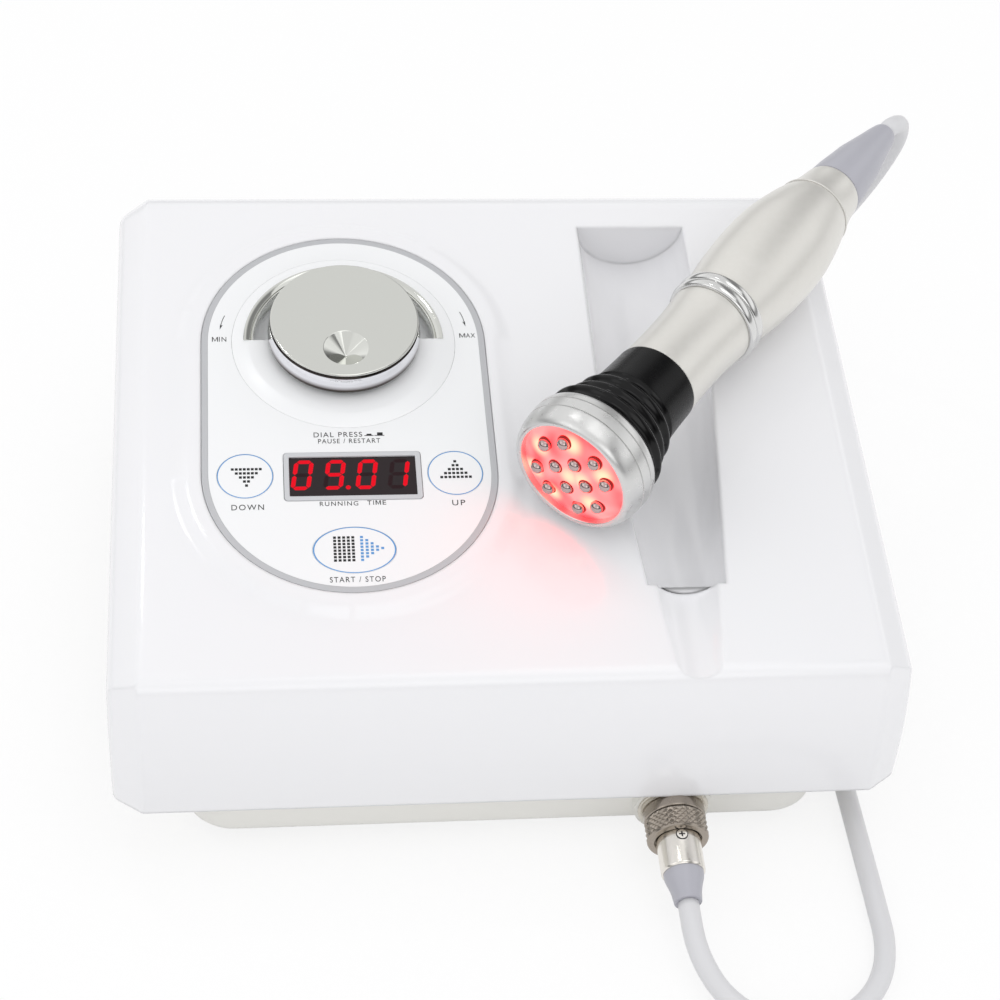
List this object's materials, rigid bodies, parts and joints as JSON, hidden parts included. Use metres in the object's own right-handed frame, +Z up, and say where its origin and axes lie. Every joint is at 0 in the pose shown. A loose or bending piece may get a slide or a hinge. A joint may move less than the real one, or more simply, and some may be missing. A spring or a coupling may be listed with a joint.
{
  "type": "facial toning device",
  "caption": "Sloped table-top beauty console with a dial, timer display and keys, and a corded electrode handpiece lying across its cradle.",
  "frame": {"origin": "centre of the base's flat underside, between the rubber feet", "axes": "+Z up, +X to the right as the user faces the control panel, +Y to the back where the mains inlet is"},
  "size_m": [0.3372, 0.4637, 0.1588],
  "materials": {
    "shell_white": "glossy injection-moulded housing",
    "base_grey": "fine satin texture",
    "rubber_dark": "matt moulded rubber",
    "steel": "zinc-plated screws and laminations",
    "overlay": "smooth printed polycarbonate overlay",
    "bezel": "light grey moulded frame",
    "window": "smoked red filter with lit digits",
    "black_plastic": "plain black moulding",
    "board": "fibreglass board with green mask",
    "chrome": "polished plating",
    "nickel": "dark nickel plating, knurled",
    "copper": "lacquered windings and laminations",
    "aluminium": "plain extrusion",
    "key": "printed key caps",
    "silver_plastic": "silver lacquer",
    "lens": "translucent red lens with light behind it",
    "bellows": "matt black rubber",
    "boot": "flexible grey vinyl",
    "cord": "smooth light grey cable jacket",
    "tie": "woven hook-and-loop tie"
  },
  "bodies": {
    "console": {"top_shell": "shell_white", "base_tray": "base_grey", "rubber_feet": "rubber_dark", "housing_screws": "steel", "control_overlay": "overlay", "dial_surround": "overlay", "pocket_liner": "chrome", "display_bezel": "bezel", "display_window": "window", "display_module": "black_plastic", "control_board": "board", "tact_switches": "black_plastic", "encoder_body": "steel", "main_board": "board", "transformer": "copper", "output_stage": "aluminium", "wire_loom": "black_plastic", "mains_inlet": "black_plastic", "inlet_screws": "steel", "switch_frame": "black_plastic", "socket_body": "nickel", "socket_nut": "nickel", "socket_insert": "black_plastic", "plug_body": "nickel", "plug_screw": "steel", "plug_clamp": "silver_plastic", "cord_front": "cord", "cord_coil": "cord", "cord_tie": "tie", "cord_rear": "cord"},
    "dial_press": {"dial_plunger": "steel"},
    "dial": {"dial_shaft": "steel", "dial_knob": "chrome"},
    "down_button": {"down_key": "key"},
    "up_button": {"up_key": "key"},
    "start_stop_button": {"start_stop_key": "key"},
    "power_switch": {"power_rocker": "black_plastic"},
    "plug_ring": {"coupling_ring": "nickel"},
    "handpiece": {"head_ring": "silver_plastic", "head_lens": "lens", "electrode_pins": "chrome", "led_board": "base_grey", "head_block": "aluminium", "bellows": "bellows", "neck_sleeve": "bellows", "front_barrel": "silver_plastic", "bead_ring": "chrome", "rear_barrel": "silver_plastic", "handpiece_board": "board", "tail_cap": "silver_plastic", "cable_boot": "boot"}
  },
  "joints": [
    {"name": "dial_press_slide", "type": "slide", "parent": "console", "child": "dial_press", "axis": [0, 0.1736, -0.9848], "range_m": [0, 0.001], "stiffness_N_per_m": 1500, "springref_m": -0.001},
    {"name": "dial_turn", "type": "hinge", "parent": "dial_press", "child": "dial", "pos_m": [-0.056, 0.03614, 0.10841], "axis": [0, -0.1736, 0.9848], "continuous": true},
    {"name": "down_press", "type": "slide", "parent": "console", "child": "down_button", "axis": [0, 0.1736, -0.9848], "range_m": [0, 0.0004], "stiffness_N_per_m": 2000, "springref_m": -0.0002},
    {"name": "up_press", "type": "slide", "parent": "console", "child": "up_button", "axis": [0, 0.1736, -0.9848], "range_m": [0, 0.0004], "stiffness_N_per_m": 2000, "springref_m": -0.0002},
    {"name": "start_stop_press", "type": "slide", "parent": "console", "child": "start_stop_button", "axis": [0, 0.1736, -0.9848], "range_m": [0, 0.0004], "stiffness_N_per_m": 2000, "springref_m": -0.0002},
    {"name": "power_rock", "type": "hinge", "parent": "console", "child": "power_switch", "pos_m": [-0.044, 0.1255, 0.052], "axis": [1, 0, 0], "range_deg": [-10, 0]},
    {"name": "plug_ring_turn", "type": "hinge", "parent": "console", "child": "plug_ring", "pos_m": [0.061, -0.13255, 0.01345], "axis": [0, -0.9945, -0.1045], "continuous": true},
    {"name": "handpiece_lift", "type": "slide", "parent": "console", "child": "handpiece", "axis": [0, -0.1736, 0.9848], "range_m": [0, 0.06]}
  ]
}
